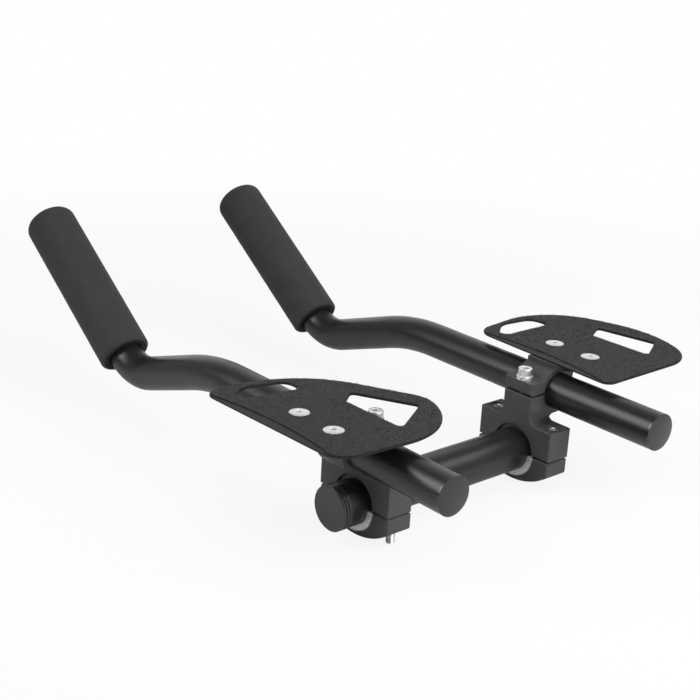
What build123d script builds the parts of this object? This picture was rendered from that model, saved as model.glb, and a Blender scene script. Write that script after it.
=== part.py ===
from build123d import *
import os
from math import cos, pi, sin

# Aero bar set for a bicycle. A stem holds the short cross bar in its middle. Near each end of
# the bar a clamp carries a bent extension tube with a foam grip, and an armrest plate on a shelf.
# Millimetres. X runs along the bar to the rider's right, Y is forward, Z is up, and the origin is
# the middle of the cross bar.

# Cross bar and its end plugs
bar_diameter = 26.0
bar_wall = 2.0
bar_reach_left = 84.3
bar_reach_right = 77.3
bar_plug_diameter = 26.4
bar_plug_head = 5.7
bar_plug_spigot = 14.0
bar_plug_edge_break = 0.6
bar_plug_ribs = 3
bar_plug_groove = 0.6
bar_plug_groove_depth = 0.5

# Extension tubes, along the axis from the rear end
tube_diameter = 22.2
tube_wall = 1.8
tube_spacing = 156.0
tube_height = 36.7
tube_tail_left = 81.0
tube_tail_right = 89.0
tube_straight = 184.4
dip_angle = 18.6
dip_radius = 138.0
dip_run = 51.9
rise_angle = 53.0
rise_radius = 37.0
tube_plug_head = 2.0
tube_plug_spigot = 12.0
tube_plug_dome = 0.9

# Foam grips, which reach back a little over the end of the upward bend
grip_diameter = 34.3
grip_lap = 2.2
grip_length = 122.4
grip_end_wall = 6.0
grip_front_round = 6.0
grip_rear_round = 2.5

# Bar clamp: the bored block of the clamp body and its cap
clamp_bore = 31.8
clamp_width = 17.5
clamp_bolt_edge = 6.4
clamp_bolt_margin = 6.2
clamp_shoulder_wall = 3.3
clamp_gap = 1.0
cap_end_depth = 9.5
cap_wall = 3.6
block_round = 0.6
upper_shim_recess = 2.0
shim_flange = 1.2
shim_flange_thickness = 0.8
knurl_depth = 1.2
knurl_teeth = 30

# Slit ring that pinches the extension tube
ring_wall = 3.4
ring_length = 22.0
ring_slit = 1.2
ear_height = 7.9
ear_margin = 4.75
pinch_edge = 6.9
pinch_thread_depth = 12.0
neck_round = 4.0
ring_blend = 4.0
ear_blend = 1.5

# Armrest shelf on the outer side of the ring
shelf_rise = 2.2
shelf_thickness = 5.0
shelf_lap = 4.0
shelf_flare_start = 4.0
shelf_flare_end = 14.0
shelf_margin = 10.0
shelf_side_margin = 6.7
shelf_blend = 5.0
shelf_corner = 5.0

# Armrest plates and their fabric facings. Outlines are given from the middle of the two screws,
# front edge first and then clockwise, with the radius of each corner.
screw_offset = 24.0
screw_spacing = 28.6
plate_thickness = 1.0
left_plate = ((-26.5, 67.0), (36.5, 62.0), (74.0, -9.0), (55.5, -50.0), (-22.5, -45.5))
left_plate_radii = (9.0, 68.0, 19.0, 48.0, 15.0)
left_side_slot = ((31.3, 13.0), (41.7, 20.8), (61.0, -14.0), (32.0, -31.6))
left_front_slot = ((-18.0, 47.0), (22.0, 41.0), (22.0, 54.0), (-7.0, 61.0))
right_plate = ((-24.0, 59.0), (46.5, 67.5), (72.3, -5.5), (53.5, -51.0), (-28.0, -51.5))
right_plate_radii = (14.0, 48.0, 70.0, 31.0, 6.0)
right_side_slot = ((33.0, 11.6), (47.5, 19.0), (56.0, -20.0), (34.0, -32.0))
right_front_slot = ((-21.5, 42.5), (25.0, 42.0), (24.0, 56.0), (-1.0, 59.0))
side_slot_radii = (2.5, 2.5, 2.5, 2.5)
front_slot_radii = (4.0, 4.0, 8.0, 16.0)
facing_thickness = 0.9
facing_inset = 0.7
facing_hollow = 6.5
facing_slot_gap = 0.6

# Screws
bolt_diameter = 5.0
bolt_head_diameter = 8.5
bolt_head_height = 5.0
bolt_socket = 4.0
bolt_socket_depth = 2.6
clamp_head_depth = 0.7
clamp_bolt_tip_left = 18.4
clamp_bolt_tip_right = 12.5
washer_diameter = 10.0
washer_thickness = 1.8
screw_head_diameter = 11.4
screw_head_height = 0.85
screw_socket = 3.0
screw_socket_depth = 1.6
screw_tip = 1.5

# Clearances
slide_gap = 0.05
grip_gap = 0.2
bolt_gap = 0.25
thread_gap = 0.05
head_gap = 0.4
pinch_tip_gap = 1.0

# Places that follow from the sizes above, for the right side
tube_x = tube_spacing / 2
tube_radius = tube_diameter / 2
pinch_x = tube_x - tube_radius - pinch_edge
clamp_inner_x = pinch_x - ear_margin
clamp_outer_x = clamp_inner_x + clamp_width
clamp_mid_x = clamp_inner_x + clamp_width / 2
clamp_bolt_y = clamp_bore / 2 + clamp_bolt_edge
clamp_end_y = clamp_bolt_y + clamp_bolt_margin
shoulder_z = clamp_bore / 2 + clamp_shoulder_wall
cap_bottom_z = -clamp_bore / 2 - cap_wall
ring_radius = tube_radius + ring_wall
ring_end_y = ring_length / 2
ear_top_z = tube_height + ear_height
shelf_top_z = tube_height + ring_radius + shelf_rise
shelf_bottom_z = shelf_top_z - shelf_thickness
screw_x = tube_x + screw_offset
shelf_end_x = screw_x + shelf_margin
shelf_end_y = screw_spacing / 2 + shelf_side_margin
plate_top_z = shelf_top_z + plate_thickness

UP = (Align.CENTER, Align.CENTER, Align.MIN)
DOWN = (Align.CENTER, Align.CENTER, Align.MAX)


def along_x(radius, start, end):
    """Round bar on the X axis from start to end."""
    return Pos(start, 0, 0) * Rot(0, 90, 0) * Cylinder(radius, end - start, align=UP)


def along_y(radius, x, z, start, end):
    """Round bar parallel to Y through x and z, from start to end."""
    return Pos(x, start, z) * Rot(-90, 0, 0) * Cylinder(radius, end - start, align=UP)


def socket_screw(head_top, tip, head_diameter, head_height, socket, socket_depth):
    """Screw on the Z axis with a round head, a hexagon socket and a plain shank."""
    head = Pos(0, 0, head_top - head_height) * Cylinder(head_diameter / 2, head_height, align=UP)
    shank = Pos(0, 0, tip) * Cylinder(bolt_diameter / 2, head_top - head_height - tip, align=UP)
    hexagon = RegularPolygon(socket / 2, 6, major_radius=False)
    recess = Pos(0, 0, head_top - socket_depth) * extrude(hexagon, socket_depth)
    return head + shank - recess


def cross_bar():
    bore = bar_diameter / 2 - bar_wall
    outside = along_x(bar_diameter / 2, -bar_reach_left, bar_reach_right)
    return outside - along_x(bore, -bar_reach_left, bar_reach_right)


def bar_plug(reach):
    """Plug with a flat ribbed head on the bar's end and a spigot in its bore."""
    bore = bar_diameter / 2 - bar_wall
    head = along_x(bar_plug_diameter / 2, reach, reach + bar_plug_head)
    head = chamfer(head.edges().group_by(Axis.X)[-1], bar_plug_edge_break)
    for i in range(1, bar_plug_ribs):
        start = reach + bar_plug_head * i / bar_plug_ribs - bar_plug_groove / 2
        end = start + bar_plug_groove
        floor = along_x(bar_plug_diameter / 2 - bar_plug_groove_depth, start, end)
        head -= along_x(bar_plug_diameter, start, end) - floor
    return head + along_x(bore - slide_gap, reach - bar_plug_spigot, reach)


def side_profile():
    """Side view of the bored block with the neck that rises from it."""
    neck_top = tube_height - ring_slit / 2
    corners = [
        (-clamp_end_y, clamp_gap / 2),
        (clamp_end_y, clamp_gap / 2),
        (clamp_end_y, shoulder_z),
        (ring_end_y, shoulder_z),
        (ring_end_y, neck_top),
        (-ring_end_y, neck_top),
        (-ring_end_y, shoulder_z),
        (-clamp_end_y, shoulder_z),
    ]
    radii = (0, 0, block_round, neck_round, 0, 0, neck_round, block_round)
    return make_face(FilletPolyline(*corners, radius=radii, close=True))


def rear_profile():
    """View along the tube of the neck, the ring, the ear above the slit and the shelf."""
    neck = Pos(clamp_inner_x, clamp_gap / 2) * Rectangle(
        clamp_width, tube_height - clamp_gap / 2, align=(Align.MIN, Align.MIN)
    )
    ear = Pos(clamp_inner_x, tube_height) * Rectangle(
        tube_x - clamp_inner_x, ear_height, align=(Align.MIN, Align.MIN)
    )
    shelf = Pos(tube_x - shelf_lap, shelf_bottom_z) * Rectangle(
        shelf_end_x - tube_x + shelf_lap, shelf_thickness, align=(Align.MIN, Align.MIN)
    )
    ring = Pos(tube_x, tube_height) * Circle(ring_radius)
    outline = neck + ear + ring + shelf
    reach = ring_radius**2
    ear_x = tube_x - (reach - ear_height**2) ** 0.5
    shelf_x = tube_x + (reach - (shelf_bottom_z - tube_height) ** 2) ** 0.5
    neck_z = tube_height - (reach - (clamp_outer_x - tube_x) ** 2) ** 0.5
    for x, z, radius in (
        (ear_x, ear_top_z, ear_blend),
        (shelf_x, shelf_bottom_z, shelf_blend),
        (clamp_outer_x, neck_z, ring_blend),
    ):
        corner = outline.vertices().sort_by_distance((x, z, 0))[0]
        outline = fillet(corner, radius)
    slit = Pos(clamp_inner_x, tube_height) * Rectangle(
        tube_x - clamp_inner_x, ring_slit, align=(Align.MIN, Align.CENTER)
    )
    return outline - slit


def shelf_plan():
    """Top view of the shelf, which flares from the ring's width to a pad under the screws."""
    inner = tube_x - shelf_lap
    flare = tube_x + shelf_flare_start
    wide = tube_x + shelf_flare_end
    corners = [
        (inner, ring_end_y),
        (flare, ring_end_y),
        (wide, shelf_end_y),
        (shelf_end_x, shelf_end_y),
        (shelf_end_x, -shelf_end_y),
        (wide, -shelf_end_y),
        (flare, -ring_end_y),
        (inner, -ring_end_y),
    ]
    radii = (0,) + (shelf_corner,) * 6 + (0,)
    return make_face(FilletPolyline(*corners, radius=radii, close=True))


def clamp_body():
    """Upper half of the bar clamp, neck, slit ring and armrest shelf in one machined piece."""
    block = extrude(Plane.YZ.offset(clamp_inner_x) * side_profile(), clamp_width)
    upper = extrude(Plane.XZ * rear_profile(), ring_end_y, both=True)
    shelf = Pos(0, 0, shelf_bottom_z) * extrude(shelf_plan(), shelf_thickness)
    body = block + upper + shelf
    body = chamfer(body.faces().group_by(Axis.X)[0].edges(), block_round)
    body -= along_x(clamp_bore / 2, clamp_inner_x, clamp_outer_x)
    body -= along_y(tube_radius + slide_gap, tube_x, tube_height, -ring_end_y, ring_end_y)
    seat_z = shoulder_z - clamp_head_depth - bolt_head_height
    for y in (-clamp_bolt_y, clamp_bolt_y):
        body -= Pos(clamp_mid_x, y, 0) * Cylinder(bolt_diameter / 2 + bolt_gap, shoulder_z, align=UP)
        body -= Pos(clamp_mid_x, y, seat_z) * Cylinder(
            (bolt_head_diameter + head_gap) / 2, shoulder_z, align=UP
        )
    body -= Pos(pinch_x, 0, tube_height) * Cylinder(
        bolt_diameter / 2 + bolt_gap, ear_height, align=UP
    )
    body -= Pos(pinch_x, 0, tube_height) * Cylinder(
        bolt_diameter / 2 + thread_gap, pinch_thread_depth, align=DOWN
    )
    for y in (-screw_spacing / 2, screw_spacing / 2):
        body -= Pos(screw_x, y, shelf_bottom_z) * Cylinder(
            bolt_diameter / 2 + thread_gap, shelf_thickness, align=UP
        )
    return body


def clamp_cap():
    """Lower half of the bar clamp, with a bowed underside and two threaded holes."""
    top = -clamp_gap / 2
    side = Polyline((clamp_end_y, -cap_end_depth), (clamp_end_y, top), (-clamp_end_y, top),
                    (-clamp_end_y, -cap_end_depth))
    bow = ThreePointArc((-clamp_end_y, -cap_end_depth), (0, cap_bottom_z), (clamp_end_y, -cap_end_depth))
    cap = extrude(Plane.YZ.offset(clamp_inner_x) * make_face([side, bow]), clamp_width)
    cap = chamfer(cap.edges(), block_round)
    cap -= along_x(clamp_bore / 2, clamp_inner_x, clamp_outer_x)
    for y in (-clamp_bolt_y, clamp_bolt_y):
        cap -= Pos(clamp_mid_x, y, 0) * Cylinder(
            bolt_diameter / 2 + thread_gap, -cap_bottom_z, align=DOWN
        )
    return cap


def upper_shim():
    """Half sleeve that fills the clamp above the bar, set back from the clamp's faces."""
    start = clamp_inner_x + upper_shim_recess
    end = clamp_outer_x - upper_shim_recess
    sleeve = along_x(clamp_bore / 2 - slide_gap, start, end)
    sleeve -= along_x(bar_diameter / 2 + slide_gap, start, end)
    keep = Pos(clamp_mid_x, 0, clamp_gap / 2) * Box(clamp_width, clamp_bore, clamp_bore, align=UP)
    return sleeve & keep


def knurled_disc():
    """Half disc below the bar's axis, with a toothed rim that reaches past the clamp's bore."""
    outer = clamp_bore / 2 + shim_flange
    points = []
    for i in range(2 * knurl_teeth + 1):
        angle = pi + pi * i / (2 * knurl_teeth)
        radius = outer - knurl_depth * (i % 2)
        points.append((radius * cos(angle), radius * sin(angle)))
    return make_face(Polyline(*points, close=True))


def lower_shim():
    """Half sleeve below the bar, with a knurled flange at each end against the clamp cap."""
    start = clamp_inner_x - shim_flange_thickness
    end = clamp_outer_x + shim_flange_thickness
    sleeve = along_x(clamp_bore / 2 - slide_gap, clamp_inner_x, clamp_outer_x)
    for face_x in (start, clamp_outer_x):
        sleeve += extrude(Plane.YZ.offset(face_x) * knurled_disc(), shim_flange_thickness)
    sleeve -= along_x(bar_diameter / 2 + slide_gap, start, end)
    keep = Pos(clamp_mid_x, 0, -clamp_gap / 2) * Box(end - start, 2 * clamp_bore, clamp_bore, align=DOWN)
    return sleeve & keep


def clamp_bolts(tip):
    """Two screws down through the block into the cap, with their ends at a depth of tip."""
    head_top = shoulder_z - clamp_head_depth
    bolt = socket_screw(head_top, -tip, bolt_head_diameter, bolt_head_height,
                        bolt_socket, bolt_socket_depth)
    return [Pos(clamp_mid_x, y, 0) * bolt for y in (-clamp_bolt_y, clamp_bolt_y)]


def pinch_washer():
    ring = Circle(washer_diameter / 2) - Circle(bolt_diameter / 2 + bolt_gap)
    return Pos(pinch_x, 0, ear_top_z) * extrude(ring, washer_thickness)


def pinch_bolt():
    head_top = ear_top_z + washer_thickness + bolt_head_height
    tip = tube_height - pinch_thread_depth + pinch_tip_gap
    bolt = socket_screw(head_top, tip, bolt_head_diameter, bolt_head_height,
                        bolt_socket, bolt_socket_depth)
    return Pos(pinch_x, 0, 0) * bolt


def tube_path(tail):
    """Side view of the tube's axis: straight, a gentle dip, straight, and a tight rise."""
    start = (-tail + tube_plug_head, tube_height)
    straight = Line(start, (-tail + tube_straight, tube_height))
    dip = JernArc(straight @ 1, straight % 1, dip_radius, -dip_angle)
    run = PolarLine(dip @ 1, dip_run, direction=dip % 1)
    rise = JernArc(run @ 1, run % 1, rise_radius, rise_angle)
    end_run = PolarLine(rise @ 1, grip_length - grip_lap - grip_end_wall, direction=rise % 1)
    return [straight, dip, run, rise, end_run]


def extension_tube(tail):
    path = Plane.YZ.offset(tube_x) * Wire(tube_path(tail))
    section = Plane(path @ 0, x_dir=(1, 0, 0), z_dir=path % 0)
    outside = sweep(section * Circle(tube_radius), path=path)
    inside = sweep(section * Circle(tube_radius - tube_wall), path=path)
    return outside - inside


def tube_plug(tail):
    """Plug with a slightly domed head as wide as the tube, at the tube's rear end."""
    rear = -tail
    seat = rear + tube_plug_head
    dome_radius = (tube_radius**2 + tube_plug_dome**2) / (2 * tube_plug_dome)
    head = along_y(tube_radius, tube_x, tube_height, rear - tube_plug_dome, seat)
    head &= Pos(tube_x, rear + dome_radius, tube_height) * Sphere(dome_radius)
    bore = tube_radius - tube_wall
    return head + along_y(bore - slide_gap, tube_x, tube_height, seat, seat + tube_plug_spigot)


def foam_grip(tail):
    """Foam sleeve, closed and rounded at the front, turned about the tube's last straight run."""
    end_run = Plane.YZ.offset(tube_x) * tube_path(tail)[-1]
    axis = Plane(end_run @ 0, x_dir=(1, 0, 0), z_dir=end_run % 0)
    sleeve = Pos(0, 0, -grip_lap) * Cylinder(grip_diameter / 2, grip_length, align=UP)
    sleeve = fillet(sleeve.edges().group_by(Axis.Z)[-1], grip_front_round)
    sleeve = fillet(sleeve.edges().group_by(Axis.Z)[0], grip_rear_round)
    depth = grip_length - grip_end_wall
    sleeve -= Pos(0, 0, -grip_lap) * Cylinder(tube_radius + grip_gap, depth, align=UP)
    return axis * sleeve


def rounded(corners, radii):
    return make_face(FilletPolyline(*corners, radius=radii, close=True))


def strap_slots(side_slot, front_slot):
    """Openings in the armrest for the pad's straps."""
    return rounded(side_slot, side_slot_radii) + rounded(front_slot, front_slot_radii)


def at_screws(shape):
    return [Pos(0, y, 0) * shape for y in (-screw_spacing / 2, screw_spacing / 2)]


def armrest_plate(corners, radii, slots):
    plate = extrude(rounded(corners, radii) - slots, plate_thickness)
    plate -= at_screws(Cylinder(bolt_diameter / 2 + bolt_gap, plate_thickness, align=UP))
    return Pos(0, 0, shelf_top_z) * plate


def armrest_facing(corners, radii, slots):
    """Fabric on the plate, cut back to a shallow curve along the straight edge."""
    front = Vector(corners[0])
    rear = Vector(corners[-1])
    hollow = ThreePointArc(front, (front + rear) / 2 + Vector(facing_hollow, 0), rear)
    outline = offset(rounded(corners, radii), -facing_inset)
    outline -= make_face([hollow, Line(rear, front)])
    outline -= offset(slots, facing_slot_gap)
    outline -= at_screws(Circle((screw_head_diameter + head_gap) / 2))
    return Pos(0, 0, plate_top_z) * extrude(outline, facing_thickness)


def armrest_screws():
    head_top = plate_top_z + screw_head_height
    tip = shelf_bottom_z - screw_tip
    screw = socket_screw(head_top, tip, screw_head_diameter, screw_head_height,
                         screw_socket, screw_socket_depth)
    return at_screws(screw)


def write(node, shape):
    """Writes a node's solid, or its group of solids, to a file of that name."""
    pieces = shape if isinstance(shape, list) else [shape]
    solids = [solid for piece in pieces for solid in piece.solids()]
    whole = solids[0] if len(solids) == 1 else Compound(children=solids)
    export_step(whole, f"parts/{node}.step")


def to_left(shape):
    """Mirror image, on the rider's left."""
    if isinstance(shape, list):
        return [to_left(piece) for piece in shape]
    return mirror(shape, about=Plane.YZ)


def placed(shape, x):
    """Armrest piece at its screws' place along the bar."""
    if isinstance(shape, list):
        return [placed(piece, x) for piece in shape]
    return Pos(x, 0, 0) * shape


os.makedirs("parts", exist_ok=True)
write("cross_bar", cross_bar())

clamp_pieces = {
    "clamp_body": clamp_body(),
    "clamp_cap": clamp_cap(),
    "upper_shim": upper_shim(),
    "lower_shim": lower_shim(),
    "pinch_washer": pinch_washer(),
    "pinch_bolt": pinch_bolt(),
}
for name, shape in clamp_pieces.items():
    write(f"right_{name}", shape)
    write(f"left_{name}", to_left(shape))

for name, make, left_size, right_size in (
    ("bar_plug", bar_plug, bar_reach_left, bar_reach_right),
    ("clamp_bolts", clamp_bolts, clamp_bolt_tip_left, clamp_bolt_tip_right),
    ("extension_tube", extension_tube, tube_tail_left, tube_tail_right),
    ("tube_plug", tube_plug, tube_tail_left, tube_tail_right),
    ("foam_grip", foam_grip, tube_tail_left, tube_tail_right),
):
    write(f"left_{name}", to_left(make(left_size)))
    write(f"right_{name}", make(right_size))

for side, x, corners, radii, side_slot, front_slot in (
    ("left", -screw_x, left_plate, left_plate_radii, left_side_slot, left_front_slot),
    ("right", screw_x, right_plate, right_plate_radii, right_side_slot, right_front_slot),
):
    slots = strap_slots(side_slot, front_slot)
    write(f"{side}_armrest_plate", placed(armrest_plate(corners, radii, slots), x))
    write(f"{side}_armrest_facing", placed(armrest_facing(corners, radii, slots), x))
    write(f"{side}_armrest_screws", placed(armrest_screws(), x))
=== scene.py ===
import math
import random

import bmesh
import bpy
import numpy as np
from mathutils import Matrix, Vector, geometry, noise
from mathutils.bvhtree import BVHTree
from mathutils.kdtree import KDTree


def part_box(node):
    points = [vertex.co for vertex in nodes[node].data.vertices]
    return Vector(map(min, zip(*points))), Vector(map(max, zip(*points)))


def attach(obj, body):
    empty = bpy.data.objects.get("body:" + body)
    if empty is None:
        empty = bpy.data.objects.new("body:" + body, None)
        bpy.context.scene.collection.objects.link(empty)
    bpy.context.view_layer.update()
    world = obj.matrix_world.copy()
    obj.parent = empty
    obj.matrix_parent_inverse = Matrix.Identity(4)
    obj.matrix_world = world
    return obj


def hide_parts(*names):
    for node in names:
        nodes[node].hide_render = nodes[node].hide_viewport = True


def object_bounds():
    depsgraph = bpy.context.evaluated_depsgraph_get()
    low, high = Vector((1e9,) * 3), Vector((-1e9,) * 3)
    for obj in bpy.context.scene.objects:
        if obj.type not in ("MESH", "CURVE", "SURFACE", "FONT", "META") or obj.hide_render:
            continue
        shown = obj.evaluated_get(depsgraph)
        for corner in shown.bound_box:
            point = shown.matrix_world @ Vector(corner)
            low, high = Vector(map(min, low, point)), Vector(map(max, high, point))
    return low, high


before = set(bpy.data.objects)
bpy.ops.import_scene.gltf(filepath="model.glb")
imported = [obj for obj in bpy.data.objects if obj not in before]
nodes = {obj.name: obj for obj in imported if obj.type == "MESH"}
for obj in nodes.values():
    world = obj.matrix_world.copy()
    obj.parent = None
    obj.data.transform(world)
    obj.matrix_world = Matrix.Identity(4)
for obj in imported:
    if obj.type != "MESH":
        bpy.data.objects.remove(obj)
cad_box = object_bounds()

# Aero bar set: two bent tubes with foam grips, held by clamps on a short cross bar, and two armrest
# plates faced with loop fabric. Sizes are in millimetres unless a line says otherwise.
MM = 0.001
SIDES = ("left", "right")
# Blender's wave texture repeats after this many units, where its noise takes one.
WAVE_TURN = math.tau / 20

# Foam grips
foam_front_round = 6.0
foam_rear_round = 2.0
foam_front_wall = 6.0
foam_bore_gap = 0.25
foam_lip = 0.8
foam_wave = 0.1
foam_wave_length = 9.0
foam_turns = 128
foam_step = 1.5
foam_round_steps = 6
foam_cut_rings = 4

# Facings: a backing cloth with a pile of brushed loops
backing_thickness = 0.45
backing_step = 1.6
backing_rim_share = 0.6
backing_wave = 0.12
backing_wave_length = 2.2
edge_fray = 0.35
edge_fray_length = 1.4
edge_fray_shift = 5.3
loops_per_cm2 = 150
loop_span = (0.9, 2.4)
loop_rise = (0.15, 0.5)
loop_width = (0.08, 0.15)
loop_parts = 4
loop_seed = 11

# Screws, with the pitch of an M5 thread. The knurl is coarser than a real one, so that it shows.
screw_points = 120
bolt_radius = 2.5
bolt_head_height = 5.0
bolt_head_round = 0.45
bolt_socket = 4.0
bolt_socket_depth = 2.6
bolt_edge_break = 0.3
bolt_tip_break = 0.5
round_steps = 4
knurl_teeth = 30
knurl_depth = 0.22
knurl_margin = 0.5
thread_length = 9.0
thread_pitch = 0.8
thread_depth = 0.3
thread_steps = 6
socket_bevel = 0.3
socket_cone = 0.25
armrest_rim = 0.35
armrest_socket = 3.0
armrest_socket_depth = 2.0
armrest_flat = 2.1
dome_steps = 8
dome_power = 2.2

# Broken edges of the machined and stamped pieces
clamp_edge = 0.35
plate_edge = 0.2
edge_segments = 2
sharp_angle = math.radians(32)
flat_angle = math.radians(0.5)
weld_reach = 0.001

# Camera, in metres and degrees. Heading is from +Y towards +X.
camera_place = (-0.524554, -0.501261, 0.330902)
camera_heading = 41.4947
camera_pitch = -19.7792
camera_roll = 3.1291
camera_lens = 69.6645
camera_sensor = 36.0

# Studio, in metres, watts and degrees. The backdrop is on the far side from the camera. Each softbox has
# its place, its aim, its width and height, its power and the angle into which its grid lets light spread.
floor_size = 30.0
floor_gap = 0.0005
paper_glow = 0.87
paper_near = 0.25
paper_far = 0.8
ambient_level = 0.25
backdrop_side = (0.66, 0.75, 0.0)
backdrop_edge = 0.45
backdrop_core = 0.8
softboxes = (
    ("left_softbox", (-0.6, 0.44, 0.55), (0.0, -0.06, 0.03), 0.3, 0.75, 0.72, 70),
    ("right_softbox", (0.55, -0.35, 0.53), (0.02, 0.0, 0.02), 0.35, 0.35, 0.95, 180),
    ("rear_softbox", (0.12, -0.85, 0.4), (0.0, 0.05, 0.05), 0.6, 0.5, 1.2, 70),
    ("top_softbox", (0.1, -0.25, 1.1), (0.0, 0.1, 0.0), 1.0, 1.0, 4.8, 180),
)


def linear(code):
    """Linear colour of an sRGB hex value."""
    parts = [int(code[i:i + 2], 16) / 255 for i in (1, 3, 5)]
    return [c / 12.92 if c <= 0.04045 else ((c + 0.055) / 1.055) ** 2.4 for c in parts] + [1.0]


def per(size):
    """Texture scale at which a pattern repeats about every size millimetres."""
    return 1 / (size * MM)


def add(tree, kind, inputs=None, to=None, output=None, **settings):
    """Adds a node with its settings and links, and returns the named output, or else the first in use.

    An input is a value, or an output that is linked to it. The node's own output is linked to the socket
    that is given as to.
    """
    made = tree.nodes.new("ShaderNode" + kind)
    for name, value in settings.items():
        setattr(made, name, value)
    for name, value in (inputs or {}).items():
        if isinstance(value, bpy.types.NodeSocket):
            tree.links.new(value, made.inputs[name])
        else:
            made.inputs[name].default_value = value
    result = made.outputs[output] if output else next(socket for socket in made.outputs if socket.enabled)
    if to:
        tree.links.new(result, to)
    return result


def finish(name, constants):
    """New material whose shader has these constant values. Returns it, its tree and its shader's inputs."""
    made = bpy.data.materials.new(name)
    made.use_nodes = True
    shader = made.node_tree.nodes["Principled BSDF"]
    for socket, value in constants.items():
        shader.inputs[socket].default_value = value
    return made, made.node_tree, shader.inputs


def anodised_tube():
    """Drawn aluminium tube, satin polished, dyed black and sealed: smooth, with broad soft highlights."""
    made, tree, sockets = finish("anodised_tube", {"IOR": 1.6, "Specular IOR Level": 0.35})
    place = add(tree, "TexCoord", output="Object")
    cloud = add(tree, "TexNoise", {"Vector": place, "Scale": per(14), "Detail": 3.0})
    grain = add(tree, "TexNoise", {"Vector": place, "Scale": per(0.5), "Detail": 2.0})
    add(tree, "Mix", {0: cloud, 6: linear("#161617"), 7: linear("#202021")}, sockets["Base Color"],
        data_type="RGBA")
    add(tree, "MapRange", {"Value": cloud, "To Min": 0.28, "To Max": 0.35}, sockets["Roughness"])
    add(tree, "Bump", {"Height": grain, "Distance": 0.01 * MM, "Strength": 0.5}, sockets["Normal"])
    return made


def anodised_clamp():
    """Milled aluminium, bead blasted, dyed black: an even dull skin whose fine dimples spread the light."""
    made, tree, sockets = finish("anodised_clamp", {"IOR": 1.6, "Specular IOR Level": 0.3})
    place = add(tree, "TexCoord", output="Object")
    cloud = add(tree, "TexNoise", {"Vector": place, "Scale": per(9), "Detail": 4.0})
    # Real dimples are about 0.1 mm wide. These are drawn four times as wide, so that they show.
    dimple = add(tree, "TexNoise", {"Vector": place, "Scale": per(0.4), "Detail": 1.0})
    add(tree, "Mix", {0: cloud, 6: linear("#3a3a3b"), 7: linear("#464647")}, sockets["Base Color"],
        data_type="RGBA")
    add(tree, "MapRange", {"Value": cloud, "To Min": 0.42, "To Max": 0.58}, sockets["Roughness"])
    add(tree, "Bump", {"Height": dimple, "Distance": 0.02 * MM, "Strength": 0.6}, sockets["Normal"])
    return made


def moulded_plug():
    """Injection moulded polyethylene with a fine eroded mould texture: grey black with a soft gloss."""
    made, tree, sockets = finish("moulded_plug", {"IOR": 1.51})
    place = add(tree, "TexCoord", output="Object")
    cloud = add(tree, "TexNoise", {"Vector": place, "Scale": per(7), "Detail": 3.0})
    spark = add(tree, "TexNoise", {"Vector": place, "Scale": per(0.45), "Detail": 2.0})
    add(tree, "Mix", {0: cloud, 6: linear("#303031"), 7: linear("#3a3a3b")}, sockets["Base Color"],
        data_type="RGBA")
    add(tree, "MapRange", {"Value": spark, "To Min": 0.24, "To Max": 0.4}, sockets["Roughness"])
    add(tree, "Bump", {"Height": spark, "Distance": 0.03 * MM, "Strength": 0.6}, sockets["Normal"])
    return made


def smooth_plug():
    """Injection moulded polyethylene from a polished mould: black, with a clear gloss on its low dome."""
    made, tree, sockets = finish("smooth_plug", {"IOR": 1.51})
    place = add(tree, "TexCoord", output="Object")
    cloud = add(tree, "TexNoise", {"Vector": place, "Scale": per(6), "Detail": 3.0})
    add(tree, "Mix", {0: cloud, 6: linear("#19191a"), 7: linear("#242425")}, sockets["Base Color"],
        data_type="RGBA")
    add(tree, "MapRange", {"Value": cloud, "To Min": 0.16, "To Max": 0.28}, sockets["Roughness"])
    add(tree, "Bump", {"Height": cloud, "Distance": 0.05 * MM, "Strength": 0.4}, sockets["Normal"])
    return made


def coated_plate():
    """Pressed sheet with a black powder coat: satin, with the slight waves of a baked coat."""
    made, tree, sockets = finish("coated_plate", {"IOR": 1.5, "Specular IOR Level": 0.25})
    place = add(tree, "TexCoord", output="Object")
    wave = add(tree, "TexNoise", {"Vector": place, "Scale": per(1.6), "Detail": 1.0})
    cloud = add(tree, "TexNoise", {"Vector": place, "Scale": per(20), "Detail": 3.0})
    add(tree, "Mix", {0: cloud, 6: linear("#161617"), 7: linear("#222223")}, sockets["Base Color"],
        data_type="RGBA")
    add(tree, "MapRange", {"Value": cloud, "To Min": 0.46, "To Max": 0.6}, sockets["Roughness"])
    add(tree, "Bump", {"Height": wave, "Distance": 0.03 * MM, "Strength": 0.5}, sockets["Normal"])
    return made


def bright_steel():
    """Zinc plated steel: bright and faintly clouded, with a wide blur in what it mirrors."""
    made, tree, sockets = finish("bright_steel", {"Metallic": 1.0})
    place = add(tree, "TexCoord", output="Object")
    cloud = add(tree, "TexNoise", {"Vector": place, "Scale": per(3), "Detail": 3.0})
    add(tree, "Mix", {0: cloud, 6: linear("#dadad8"), 7: linear("#f0f0ee")}, sockets["Base Color"],
        data_type="RGBA")
    add(tree, "MapRange", {"Value": cloud, "To Min": 0.28, "To Max": 0.42}, sockets["Roughness"])
    add(tree, "Bump", {"Height": cloud, "Distance": 0.01 * MM, "Strength": 0.3}, sockets["Normal"])
    return made


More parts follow.
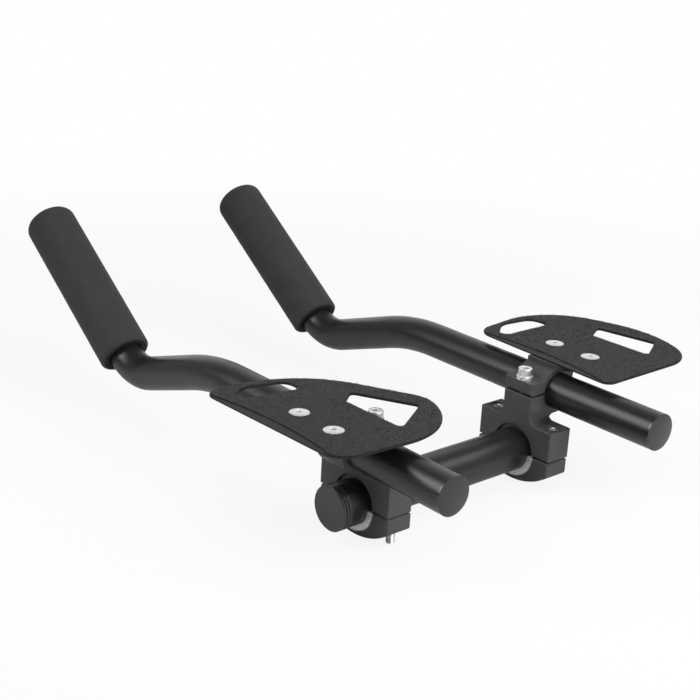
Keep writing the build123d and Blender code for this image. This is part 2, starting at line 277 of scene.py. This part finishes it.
def turned_aluminium():
    """Bare turned aluminium: pale and dull, with fine tool lines round the axis of the bar."""
    made, tree, sockets = finish("turned_aluminium", {"Metallic": 1.0})
    place = add(tree, "TexCoord", output="Object")
    lines = add(tree, "TexWave", {"Vector": place, "Scale": per(0.6) * WAVE_TURN, "Distortion": 0.6},
                bands_direction="X")
    cloud = add(tree, "TexNoise", {"Vector": place, "Scale": per(4), "Detail": 3.0})
    add(tree, "Mix", {0: cloud, 6: linear("#e4e4e2"), 7: linear("#f3f3f1")}, sockets["Base Color"],
        data_type="RGBA")
    add(tree, "MapRange", {"Value": cloud, "To Min": 0.55, "To Max": 0.68}, sockets["Roughness"])
    add(tree, "Bump", {"Height": lines, "Distance": 0.02 * MM, "Strength": 0.4}, sockets["Normal"])
    return made


def closed_cell_foam():
    """Skinned rubber foam: dead matt dark grey, with tiny closed cells that dot the skin."""
    made, tree, sockets = finish("closed_cell_foam", {"IOR": 1.45, "Specular IOR Level": 0.2,
                                                      "Sheen Weight": 0.08, "Sheen Roughness": 0.5})
    place = add(tree, "TexCoord", output="Object")
    # Real cells are about 0.2 mm wide. These are three times as wide, so that they show.
    cell = add(tree, "TexVoronoi", {"Vector": place, "Scale": per(0.6)})
    cloud = add(tree, "TexNoise", {"Vector": place, "Scale": per(11), "Detail": 4.0})
    add(tree, "Mix", {0: cloud, 6: linear("#343435"), 7: linear("#3f3f40")}, sockets["Base Color"],
        data_type="RGBA")
    add(tree, "MapRange", {"Value": cell, "To Min": 0.8, "To Max": 0.95}, sockets["Roughness"])
    add(tree, "Bump", {"Height": cell, "Distance": 0.12 * MM, "Strength": 0.5}, sockets["Normal"])
    return made


def cut_foam_painted_shade():
    """Cut end of the rubber foam, darker than the skin: partly because its opened cells trap the light,
    partly painted shade.
    """
    made, tree, sockets = finish("cut_foam_painted_shade", {"IOR": 1.45, "Specular IOR Level": 0.1})
    place = add(tree, "TexCoord", output="Object")
    # The cells are as wide as on the skin, three times the real width.
    cell = add(tree, "TexVoronoi", {"Vector": place, "Scale": per(0.6)})
    # Both colours hold painted shade, for the little light that reaches the cut end, on top of the darker
    # open cells.
    add(tree, "Mix", {0: cell, 6: linear("#222223"), 7: linear("#303031")}, sockets["Base Color"],
        data_type="RGBA")
    add(tree, "MapRange", {"Value": cell, "To Min": 0.88, "To Max": 0.98}, sockets["Roughness"])
    add(tree, "Bump", {"Height": cell, "Distance": 0.2 * MM, "Strength": 0.7}, sockets["Normal"])
    return made


def knitted_backing():
    """Knitted nylon backing of the loop fabric: black and dull, in close ribs."""
    made, tree, sockets = finish("knitted_backing", {"IOR": 1.53, "Specular IOR Level": 0.2,
                                                     "Sheen Weight": 0.1, "Sheen Roughness": 0.6})
    place = add(tree, "TexCoord", output="Object")
    rib = add(tree, "TexWave", {"Vector": place, "Scale": per(1.1) * WAVE_TURN, "Distortion": 2.5,
                                "Detail": 2.0, "Detail Scale": 3.0}, bands_direction="X")
    fluff = add(tree, "TexNoise", {"Vector": place, "Scale": per(0.8), "Detail": 3.0})
    add(tree, "Mix", {0: fluff, 6: linear("#101011"), 7: linear("#2a2a2b")}, sockets["Base Color"],
        data_type="RGBA")
    add(tree, "MapRange", {"Value": fluff, "To Min": 0.8, "To Max": 0.95}, sockets["Roughness"])
    add(tree, "Bump", {"Height": rib, "Distance": 0.25 * MM, "Strength": 0.6}, sockets["Normal"])
    return made


def brushed_loops():
    """Brushed nylon loops of the fabric: dark threads, a few of them painted paler as highlight where they
    catch the light.
    """
    made, tree, sockets = finish("brushed_loops", {"IOR": 1.53, "Specular IOR Level": 0.4,
                                                   "Sheen Weight": 0.15, "Sheen Roughness": 0.4})
    place = add(tree, "TexCoord", output="Object")
    thread = add(tree, "TexNoise", {"Vector": place, "Scale": per(1.3), "Detail": 2.0})
    # The paler threads are a painted highlight.
    painted_glint = add(tree, "MapRange", {"Value": thread, "From Min": 0.48, "From Max": 0.75})
    add(tree, "Mix", {0: painted_glint, 6: linear("#1c1c1d"), 7: linear("#58585b")}, sockets["Base Color"],
        data_type="RGBA")
    add(tree, "MapRange", {"Value": thread, "To Min": 0.5, "To Max": 0.8}, sockets["Roughness"])
    return made


def white_paper():
    """Roll of dead matt studio paper. The camera sees it nearly white near the object, where it takes a
    shadow, and white from paper_far on. Metal mirrors it as it is lit, and white far off towards the
    backdrop."""
    made, tree, _ = finish("white_paper", {"Base Color": linear("#f2f2f2"), "Roughness": 0.9,
                                           "Specular IOR Level": 0.0})
    place = add(tree, "TexCoord", output="Object")
    away = add(tree, "VectorMath", {0: place}, output="Value", operation="LENGTH")
    behind = add(tree, "VectorMath", {0: place, 1: backdrop_side}, output="Value", operation="DOT_PRODUCT")
    reach = {"From Min": paper_near, "From Max": paper_far}
    shown = add(tree, "MapRange", {"Value": away, "To Min": paper_glow, **reach})
    mirrored = add(tree, "MapRange", {"Value": behind, **reach})
    by_camera = add(tree, "LightPath", output="Is Camera Ray")
    by_metal = add(tree, "LightPath", output="Is Glossy Ray")
    by_glass = add(tree, "LightPath", output="Is Transmission Ray")
    through = add(tree, "Math", {0: by_metal, 1: by_glass}, operation="MAXIMUM")
    far = add(tree, "Math", {0: through, 1: mirrored}, operation="MULTIPLY")
    share = add(tree, "Math", {0: by_camera, 1: shown, 2: far}, operation="MULTIPLY_ADD")
    glow = add(tree, "Emission", {"Color": linear("#ffffff"), "Strength": 1.0})
    matt = tree.nodes["Principled BSDF"].outputs[0]
    add(tree, "MixShader", {0: share, 1: matt, 2: glow}, tree.nodes["Material Output"].inputs["Surface"])
    return made


def join(parts):
    """One list of points and one of faces from several."""
    points, faces = [], []
    for more_points, more_faces in parts:
        start = len(points)
        points += more_points
        faces += [tuple(start + i for i in face) for face in more_faces]
    return points, faces


def piece(name, points, faces, look, slot, *replaced):
    """New smooth piece on the frame, with its look and the CAD nodes that it stands for."""
    mesh = bpy.data.meshes.new(name)
    mesh.from_pydata(points, [], faces)
    mesh.materials.append(look)
    mesh.shade_smooth()
    mesh.set_sharp_from_angle(angle=sharp_angle)
    made = bpy.data.objects.new(name, mesh)
    bpy.context.scene.collection.objects.link(made)
    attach(made, "root")
    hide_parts(*replaced)
    return made


def skin(rings):
    """Points and faces of a closed solid through rings of equally many points."""
    count = len(rings[0])
    points = [point for ring in rings for point in ring]
    faces = [tuple(reversed(range(count))), tuple(range(len(points) - count, len(points)))]
    for start in range(0, len(points) - count, count):
        for i in range(count):
            j = (i + 1) % count
            faces.append((start + i, start + j, start + count + j, start + count + i))
    return points, faces


def ring(height, radius):
    """Level ring about the Z axis. The radius may vary with the turn."""
    points = []
    for i in range(screw_points):
        turn = math.tau * i / screw_points
        reach = radius(turn) if callable(radius) else radius
        points.append(Vector((reach * math.cos(turn), reach * math.sin(turn), height)))
    return points


def hexagon(flats):
    """Radius of a hexagon of that width across flats."""
    return lambda turn: flats / 2 / math.cos(turn % (math.pi / 3) - math.pi / 6)


def knurl(radius):
    """Radius of a straight knurl."""
    return lambda turn: radius - knurl_depth * abs(2 * (turn * knurl_teeth / math.tau % 1) - 1)


def thread(height):
    """Radius of a screw thread at that height."""
    climb = height / thread_pitch
    return lambda turn: bolt_radius - thread_depth * abs(2 * ((climb - turn / math.tau) % 1) - 1)


def placed(shape, x, y):
    """A shape in millimetres, in its place and in metres."""
    points, faces = shape
    return [(point + Vector((x, y, 0))) * MM for point in points], faces


def socket_recess(top, flats, depth):
    """Rings of a hexagon socket, from its drilled floor up to the bevel at its mouth."""
    corner = flats / 2 / math.cos(math.pi / 6)
    floor = top - depth
    return [
        ring(floor, flats / 2 - socket_cone),
        ring(floor + socket_cone, hexagon(flats)),
        ring(top - socket_bevel, hexagon(flats)),
        ring(top, corner + socket_bevel / 3),
    ]


def cap_screw(top, tip, head_radius, threaded):
    """Cap screw with a hexagon socket, a knurled head and a plain or threaded shank."""
    seat = top - bolt_head_height
    rings = socket_recess(top, bolt_socket, bolt_socket_depth)
    for step in range(round_steps):
        turn = math.pi / 2 * step / (round_steps - 1)
        drop, draw = bolt_head_round * (1 - math.cos(turn)), bolt_head_round * (1 - math.sin(turn))
        rings.append(ring(top - drop, head_radius - draw))
    rings += [
        ring(top - 2 * knurl_margin, head_radius),
        ring(top - 2.5 * knurl_margin, knurl(head_radius)),
        ring(seat + knurl_margin, knurl(head_radius)),
        ring(seat + bolt_edge_break, head_radius - knurl_depth),
        ring(seat, head_radius - bolt_edge_break),
        ring(seat, bolt_radius),
    ]
    if threaded:
        start = tip + thread_length
        rings.append(ring(start, bolt_radius))
        for step in range(1, int(thread_length / thread_pitch * thread_steps)):
            height = start - step * thread_pitch / thread_steps
            rings.append(ring(height, thread(height)))
    rings.append(ring(tip, bolt_radius - bolt_tip_break))
    return skin(rings[::-1])


def low_head_screw(top, seat, tip, head_radius):
    """Low domed screw with a small hexagon socket."""
    rings = socket_recess(top, armrest_socket, armrest_socket_depth)
    crown = top - seat - armrest_rim
    for step in range(dome_steps + 1):
        share = math.sin(math.pi / 2 * step / dome_steps)
        reach = armrest_flat + (head_radius - armrest_flat) * share
        rings.append(ring(top - crown * share**dome_power, reach))
    rings += [ring(seat, head_radius), ring(seat, bolt_radius), ring(tip, bolt_radius)]
    return skin(rings[::-1])


def pair_in(node):
    """Head radius, places, top and tip in millimetres of the two upright screws of a CAD node."""
    low, high = (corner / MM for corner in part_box(node))
    radius = (high.x - low.x) / 2
    return radius, [((low.x + high.x) / 2, y) for y in (low.y + radius, high.y - radius)], high.z, low.z


def clamp_bolts(side, look):
    node = f"{side}_clamp_bolts"
    radius, places, top, tip = pair_in(node)
    screws = join(placed(cap_screw(top, tip, radius, True), x, y) for x, y in places)
    return piece(f"{side}_clamp_cap_screws", *screws, look, "plated_steel", node)


def pinch_bolt(side, look):
    node = f"{side}_pinch_bolt"
    low, high = (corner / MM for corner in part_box(node))
    middle = (low + high) / 2
    screw = placed(cap_screw(high.z, low.z, (high.x - low.x) / 2, False), middle.x, middle.y)
    return piece(f"{side}_pinch_cap_screw", *screw, look, "plated_steel", node)


def armrest_screws(side, look):
    node = f"{side}_armrest_screws"
    radius, places, top, tip = pair_in(node)
    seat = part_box(f"{side}_armrest_plate")[1].z / MM
    screws = join(placed(low_head_screw(top, seat, tip, radius), x, y) for x, y in places)
    return piece(f"{side}_armrest_low_screws", *screws, look, "plated_steel", node)


def turned_frame(node):
    """Matrix at the rear end of a turned CAD node, with Z along its axis, and its length and radius."""
    points = np.array([vertex.co for vertex in nodes[node].data.vertices])
    middle = (points.min(0) + points.max(0)) / 2
    spread = np.linalg.eigh(np.cov((points - points.mean(0)).T))[1]
    axis = Vector((0, *spread[1:, 2])).normalized()
    if axis.y < 0:
        axis.negate()
    across = Vector((1, 0, 0)).cross(axis)
    along, off = points @ axis, points @ across
    start = axis * along.min() + across * (off.min() + off.max()) / 2 + Vector((middle[0], 0, 0))
    turned = Matrix((Vector((1, 0, 0)), across, axis)).transposed().to_4x4()
    return Matrix.Translation(start) @ turned, np.ptp(along) / MM, np.ptp(points[:, 0]) / 2 / MM


def foam_profile(length, radius, bore):
    """Pairs of distance from the rear end and radius, from the bore's floor round to the front face."""
    pairs = [
        (length - foam_front_wall, bore),
        (foam_lip, bore),
        (foam_lip / 3, bore + foam_lip / 6),
        (0.0, bore + foam_lip / 2),
    ]
    turns = [math.pi / 2 * step / foam_round_steps for step in range(foam_round_steps + 1)]
    for turn in turns:
        along = foam_rear_round * (1 - math.cos(turn))
        pairs.append((along, radius - foam_rear_round * (1 - math.sin(turn))))
    straight = length - foam_rear_round - foam_front_round
    count = int(straight / foam_step)
    pairs += [(foam_rear_round + straight * i / count, radius) for i in range(1, count)]
    for turn in turns:
        along = length - foam_front_round * (1 - math.sin(turn))
        pairs.append((along, radius - foam_front_round * (1 - math.cos(turn))))
    pairs += [(length, (radius - foam_front_round) * share) for share in (0.75, 0.5, 0.25)]
    return pairs


def foam_grip(side, look, cut_end_shade_look):
    """Foam sleeve round the tube's last straight run, with a cut rear end in partly painted shade and
    slight dips in its skin.
    """
    node = f"{side}_foam_grip"
    seat, length, radius = turned_frame(node)
    tube_low, tube_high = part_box(f"{side}_extension_tube")
    bore = (tube_high.x - tube_low.x) / 2 / MM + foam_bore_gap
    rings = []
    for along, reach in foam_profile(length, radius, bore):
        circle = []
        for i in range(foam_turns):
            turn = math.tau * i / foam_turns
            spot = Vector((reach * math.cos(turn), reach * math.sin(turn), along))
            if reach > bore + foam_lip:
                dip = foam_wave * (0.5 + 0.5 * noise.noise(spot / foam_wave_length))
                spot -= dip * Vector((math.cos(turn), math.sin(turn), 0))
            circle.append(seat @ (spot * MM))
        rings.append(circle)
    grip = piece(f"{side}_foam_sleeve", *skin(rings), look, "foam", node)
    grip.data.materials.append(cut_end_shade_look)
    # The rings of the rear end take the darker cut foam, which is partly painted shade.
    for face in grip.data.polygons[2:2 + foam_cut_rings * foam_turns]:
        face.material_index = 1
    return grip


def flat_top(node):
    """Test for being over a CAD node's flat top, the rim of that top and its area."""
    shape = bmesh.new()
    shape.from_mesh(nodes[node].data)
    height = max(vertex.co.z for vertex in shape.verts)
    faces = {face for face in shape.faces if all(vertex.co.z > height - 1e-6 for vertex in face.verts)}
    bmesh.ops.delete(shape, geom=[face for face in shape.faces if face not in faces], context="FACES")
    tree = BVHTree.FromBMesh(shape)
    area = sum(face.calc_area() for face in shape.faces)
    rim = [tuple(vertex.co.xy for vertex in edge.verts) for edge in shape.edges if edge.is_boundary]
    shape.free()

    def over(x, y):
        return tree.ray_cast(Vector((x, y, 1)), Vector((0, 0, -1)))[0] is not None

    return over, rim, area


def rim_points(rim):
    """Points and edges of a rim, cut into steps no longer than the backing's."""
    places, points, edges = {}, [], []

    def index(point):
        key = (round(point.x, 7), round(point.y, 7))
        if key not in places:
            places[key] = len(points)
            points.append(point)
        return places[key]

    for start, end in rim:
        count = max(1, math.ceil((end - start).length / (backing_step * MM)))
        line = [index(start.lerp(end, i / count)) for i in range(count + 1)]
        edges += list(zip(line, line[1:]))
    return points, edges


def frayed(point):
    """Point of the cut edge, shifted a little both ways, as the threads there are uneven."""
    spot = Vector((*point, 0)) / (edge_fray_length * MM)
    aside = spot + Vector((0, 0, edge_fray_shift))
    return point + Vector((noise.noise(spot), noise.noise(aside))) * edge_fray * MM


def net_in(node):
    """Even net of triangles over a CAD node's flat top. Returns its points, its triangles, how many of
    the points are on the rim, the test for being over the top and the top's area."""
    over, rim, area = flat_top(node)
    low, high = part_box(node)
    points, edges = rim_points(rim)
    on_rim = len(points)
    near = KDTree(on_rim)
    for i, point in enumerate(points):
        near.insert((*point, 0), i)
    near.balance()
    step = backing_step * MM
    row_step = step * math.sin(math.pi / 3)
    for row in range(int((high.y - low.y) / row_step)):
        for column in range(int((high.x - low.x) / step)):
            spot = Vector((low.x + (column + row % 2 / 2) * step, low.y + row * row_step))
            if over(*spot) and near.find((*spot, 0))[2] > backing_rim_share * step:
                points.append(spot)
    net = geometry.delaunay_2d_cdt(points, edges, [], 0, 1e-7)
    flat = net[0]
    triangles = [t for t in net[2] if over(*(sum((flat[i] for i in t), Vector((0, 0))) / 3))]
    return flat, triangles, on_rim, over, area


def backing(side, look):
    """Backing cloth on the armrest plate, cut to the facing's outline, with uneven edges."""
    node = f"{side}_armrest_facing"
    flat, triangles, on_rim, over, area = net_in(node)
    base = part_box(node)[0].z
    top, bottom = [], []
    for i, spot in enumerate(flat):
        place = frayed(spot) if i < on_rim else spot
        wave = backing_wave * noise.noise(Vector((*spot, 0)) / (backing_wave_length * MM))
        top.append(Vector((*place, base + (backing_thickness + wave) * MM)))
        bottom.append(Vector((*place, base)))
    edges = {edge for t in triangles for edge in zip(t, t[1:] + t[:1])}
    lift = len(flat)
    sides = [(b, a, a + lift, b + lift) for a, b in sorted(edges) if (b, a) not in edges]
    under = [tuple(i + lift for i in reversed(t)) for t in triangles]
    faces = triangles + under + sides
    return piece(f"{side}_facing_backing", top + bottom, faces, look, "loop_fabric", node), over, area


def loop_pile(side, over, area, look):
    """Brushed loops of the facing: short bowed threads that lie in all directions."""
    low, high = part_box(f"{side}_armrest_facing")
    chance = random.Random(loop_seed)
    foot = low.z + (backing_thickness - backing_wave) * MM
    threads = []
    while len(threads) < area / 1e-4 * loops_per_cm2:
        spot = Vector((chance.uniform(low.x, high.x), chance.uniform(low.y, high.y), foot))
        heading = chance.uniform(0, math.tau)
        along = Vector((math.cos(heading), math.sin(heading), 0))
        across = Vector((-along.y, along.x, 0))
        span, rise, width = (chance.uniform(*sizes) * MM for sizes in (loop_span, loop_rise, loop_width))
        lean = chance.uniform(-1, 1) * rise
        if not over(spot.x, spot.y):
            continue
        points = []
        for i in range(loop_parts + 1):
            share = i / loop_parts
            bow = math.sin(math.pi * share)
            middle = spot + along * (share - 0.5) * span + across * lean * bow
            middle.z += (rise + 2 * backing_wave * MM) * bow
            points += [middle - across * width / 2, middle + across * width / 2]
        threads.append((points, [(2 * i, 2 * i + 1, 2 * i + 3, 2 * i + 2) for i in range(loop_parts)]))
    return piece(f"{side}_facing_loops", *join(threads), look, "loop_fabric")


def facing(side, cloth_look, loop_look):
    """Loop fabric glued on the armrest plate."""
    cloth, over, area = backing(side, cloth_look)
    pile = loop_pile(side, over, area, loop_look)


def dress(node, look, edge=0.0):
    """Look of a CAD node, with its sharp edges broken by that width."""
    made = nodes[node]
    made.data.materials.clear()
    made.data.materials.append(look)
    if edge:
        weld = made.modifiers.new("weld", "WELD")
        weld.merge_threshold = weld_reach * MM
        level = made.modifiers.new("level", "DECIMATE")
        level.decimate_type = "DISSOLVE"
        level.angle_limit = flat_angle
        bevel = made.modifiers.new("bevel", "BEVEL")
        bevel.width = edge * MM
        bevel.segments = edge_segments
        bevel.limit_method = "ANGLE"
        bevel.angle_limit = sharp_angle
        bevel.harden_normals = True


def softbox(name, place, aim, width, height, watts, spread):
    """Large soft lamp that faces a point."""
    lamp = bpy.data.lights.new(name, "AREA")
    lamp.shape = "RECTANGLE"
    lamp.size = width
    lamp.size_y = height
    lamp.energy = watts
    lamp.spread = math.radians(spread)
    made = bpy.data.objects.new(name, lamp)
    made.location = place
    made.rotation_euler = (Vector(aim) - Vector(place)).to_track_quat("-Z", "Y").to_euler()
    made.visible_camera = False
    bpy.context.scene.collection.objects.link(made)


def floor():
    """Sheet of white paper under the object."""
    mesh = bpy.data.meshes.new("floor")
    edge = floor_size / 2
    corners = [(-edge, -edge, 0), (edge, -edge, 0), (edge, edge, 0), (-edge, edge, 0)]
    mesh.from_pydata(corners, [], [(0, 1, 2, 3)])
    mesh.materials.append(white_paper())
    made = bpy.data.objects.new("floor", mesh)
    low, high = cad_box
    made.location = ((low.x + high.x) / 2, (low.y + high.y) / 2, low.z - floor_gap)
    bpy.context.scene.collection.objects.link(made)


def surroundings():
    """Walls of the studio: dim for the light they give, white where the camera sees them, and in mirrored
    rays white on the side of the backdrop."""
    world = bpy.data.worlds.new("surroundings")
    bpy.context.scene.world = world
    world.use_nodes = True
    tree = world.node_tree
    wall = tree.nodes["Background"].inputs
    wall["Color"].default_value = linear("#ffffff")
    direction = add(tree, "TexCoord", output="Generated")
    behind = add(tree, "VectorMath", {0: direction, 1: backdrop_side}, output="Value",
                 operation="DOT_PRODUCT")
    white = add(tree, "MapRange", {"Value": behind, "From Min": backdrop_edge, "From Max": backdrop_core})
    by_camera = add(tree, "LightPath", output="Is Camera Ray")
    by_metal = add(tree, "LightPath", output="Is Glossy Ray")
    by_glass = add(tree, "LightPath", output="Is Transmission Ray")
    mirrored = add(tree, "Math", {0: by_metal, 1: white}, operation="MULTIPLY")
    seen = add(tree, "Math", {0: by_camera, 1: by_glass}, operation="MAXIMUM")
    shown = add(tree, "Math", {0: seen, 1: mirrored}, operation="MAXIMUM")
    add(tree, "Math", {0: shown, 1: ambient_level}, wall["Strength"], operation="MAXIMUM")


def camera():
    data = bpy.data.cameras.new("camera")
    data.lens = camera_lens
    data.sensor_width = camera_sensor
    made = bpy.data.objects.new("camera", data)
    heading, pitch, roll = (math.radians(a) for a in (camera_heading, camera_pitch, camera_roll))
    level = Matrix.Rotation(-heading, 4, "Z") @ Matrix.Rotation(math.pi / 2 + pitch, 4, "X")
    made.matrix_world = Matrix.Translation(camera_place) @ level @ Matrix.Rotation(roll, 4, "Z")
    bpy.context.scene.collection.objects.link(made)
    bpy.context.scene.camera = made


tube_look = anodised_tube()
clamp_look = anodised_clamp()
plug_look = moulded_plug()
dome_look = smooth_plug()
plate_look = coated_plate()
steel_look = bright_steel()
shim_look = turned_aluminium()
foam_look = closed_cell_foam()
cut_end_shade_look = cut_foam_painted_shade()
backing_look = knitted_backing()
loop_look = brushed_loops()

dress("cross_bar", tube_look)
for side in SIDES:
    dress(f"{side}_extension_tube", tube_look)
    dress(f"{side}_bar_plug", plug_look)
    dress(f"{side}_tube_plug", dome_look)
    dress(f"{side}_clamp_body", clamp_look, clamp_edge)
    dress(f"{side}_clamp_cap", clamp_look, clamp_edge)
    # The upper shim's black clamp finish is painted shade: it stands for the shade that the shim lies in.
    dress(f"{side}_upper_shim", clamp_look)
    dress(f"{side}_lower_shim", shim_look)
    dress(f"{side}_pinch_washer", steel_look)
    dress(f"{side}_armrest_plate", plate_look, plate_edge)
    clamp_bolts(side, steel_look)
    pinch_bolt(side, steel_look)
    armrest_screws(side, steel_look)
    foam_grip(side, foam_look, cut_end_shade_look)
    facing(side, backing_look, loop_look)

floor()
surroundings()
for lamp in softboxes:
    softbox(*lamp)
camera()
bpy.context.scene.view_settings.view_transform = "Standard"
